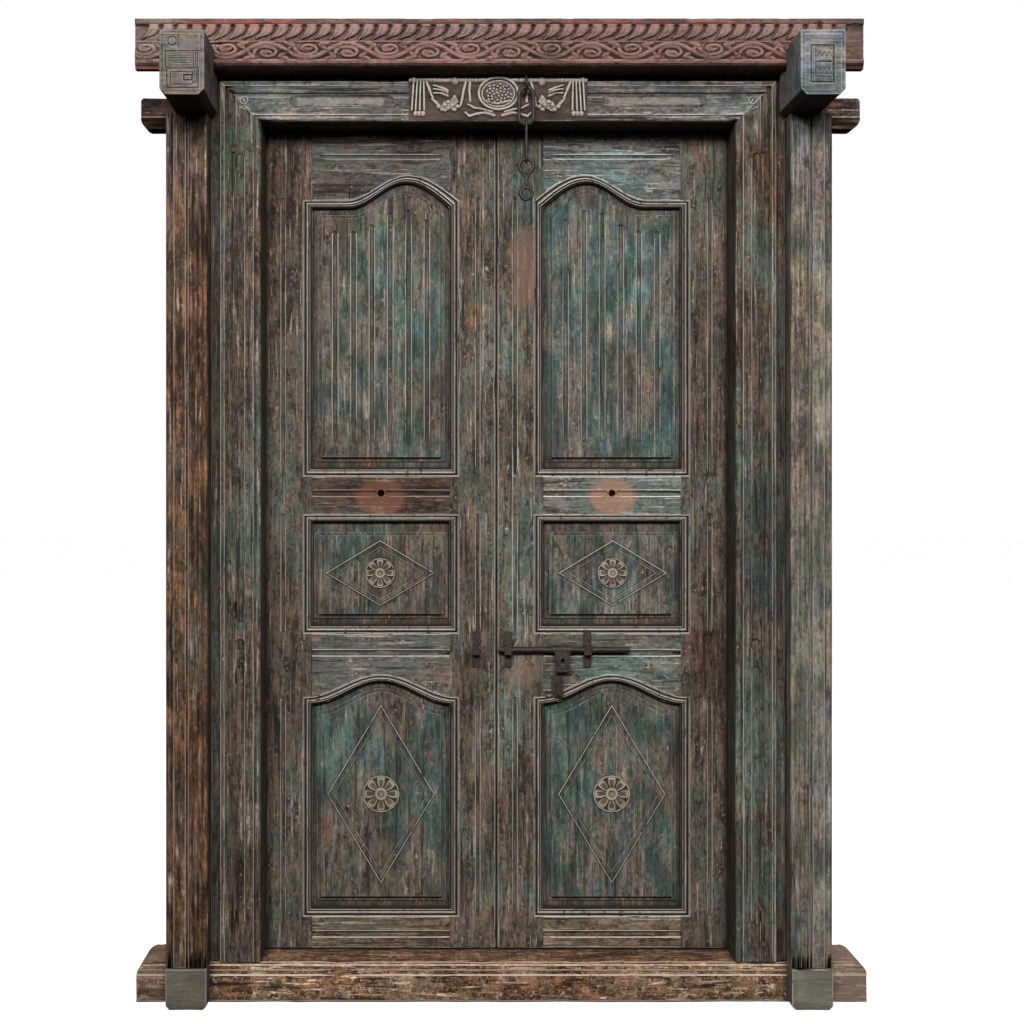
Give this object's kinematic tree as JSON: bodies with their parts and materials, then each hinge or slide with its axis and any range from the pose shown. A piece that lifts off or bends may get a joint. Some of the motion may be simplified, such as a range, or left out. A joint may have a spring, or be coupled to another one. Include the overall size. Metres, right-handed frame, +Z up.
{
  "type": "carved double door with frame",
  "caption": "Old two-leaf carved timber door in its frame, with panelled leaves on pivots, bracket blocks, carved cornice, sliding bolt and hanging chain.",
  "frame": {"origin": "centre of the sill's underside", "axes": "+Z up; -Y is the front, where the brackets project; +X to the right as seen from the front"},
  "size_m": [1.609, 0.365, 2.149],
  "materials": {
    "frame_paint": "worn grey-green paint over old timber",
    "leaf_paint": "worn teal-grey paint over brown timber",
    "panel_paint": "worn teal paint",
    "block_paint": "flat grey-green paint",
    "post_wood": "weathered timber with traces of paint",
    "sill_wood": "flaking cream paint on dark timber",
    "cornice_wood": "worn maroon paint",
    "carved_wood": "pale worn carving",
    "peg_wood": "bare timber",
    "iron": "dark wrought iron with rust"
  },
  "bodies": {
    "frame": {"sill": "sill_wood", "lintel": "frame_paint", "jamb_left": "frame_paint", "jamb_right": "frame_paint", "post_left": "post_wood", "post_right": "post_wood", "base_block_left": "block_paint", "base_block_right": "block_paint", "bracket_left": "block_paint", "bracket_right": "block_paint", "cornice": "cornice_wood", "lintel_garland": "carved_wood", "frame_pegs": "peg_wood", "pivot_sockets": "iron", "chain_staple": "iron"},
    "left_leaf": {"left_hinge_stile": "leaf_paint", "left_lock_stile": "leaf_paint", "left_top_rail": "leaf_paint", "left_upper_mid_rail": "leaf_paint", "left_lower_mid_rail": "leaf_paint", "left_bottom_rail": "leaf_paint", "left_upper_panel": "panel_paint", "left_middle_panel": "panel_paint", "left_lower_panel": "panel_paint", "left_middle_lozenge": "panel_paint", "left_lower_lozenge": "panel_paint", "left_middle_rosette": "carved_wood", "left_lower_rosette": "carved_wood", "left_pegs": "peg_wood", "left_pivots": "iron", "keeper": "iron"},
    "right_leaf": {"right_hinge_stile": "leaf_paint", "right_lock_stile": "leaf_paint", "right_top_rail": "leaf_paint", "right_upper_mid_rail": "leaf_paint", "right_lower_mid_rail": "leaf_paint", "right_bottom_rail": "leaf_paint", "right_upper_panel": "panel_paint", "right_middle_panel": "panel_paint", "right_lower_panel": "panel_paint", "right_middle_lozenge": "panel_paint", "right_lower_lozenge": "panel_paint", "right_middle_rosette": "carved_wood", "right_lower_rosette": "carved_wood", "right_pegs": "peg_wood", "right_pivots": "iron", "bolt_guides": "iron", "padlock_staple": "iron"},
    "bolt": {"bolt_rod": "iron"},
    "hasp": {"hasp": "iron"},
    "ring": {"chain_ring": "iron"},
    "link": {"chain_link": "iron"},
    "hook_link": {"chain_hook_link": "iron"}
  },
  "joints": [
    {"name": "left_leaf_swing", "type": "hinge", "parent": "frame", "child": "left_leaf", "pos_m": [-0.5115, 0.0485, 0.094], "axis": [0, 0, 1], "range_deg": [0, 90]},
    {"name": "right_leaf_swing", "type": "hinge", "parent": "frame", "child": "right_leaf", "pos_m": [0.5115, 0.0485, 0.094], "axis": [0, 0, -1], "range_deg": [0, 90]},
    {"name": "bolt_slide", "type": "slide", "parent": "right_leaf", "child": "bolt", "axis": [-1, 0, 0], "range_m": [0, 0.06]},
    {"name": "hasp_turn", "type": "hinge", "parent": "bolt", "child": "hasp", "pos_m": [0.148, 0.016, 0.768], "axis": [-1, 0, 0], "range_deg": [0, 150]},
    {"name": "ring_swing", "type": "hinge", "parent": "frame", "child": "ring", "pos_m": [0.06, -0.1, 2.0073], "axis": [-1, 0, 0], "range_deg": [-1.5, 100]},
    {"name": "link_swing", "type": "hinge", "parent": "ring", "child": "link", "pos_m": [0.06, -0.1, 1.9366], "axis": [0, 1, 0], "range_deg": [-45, 45]},
    {"name": "hook_link_swing", "type": "hinge", "parent": "link", "child": "hook_link", "pos_m": [0.06, -0.1, 1.8514], "axis": [1, 0, 0], "range_deg": [-45, 45]}
  ]
}
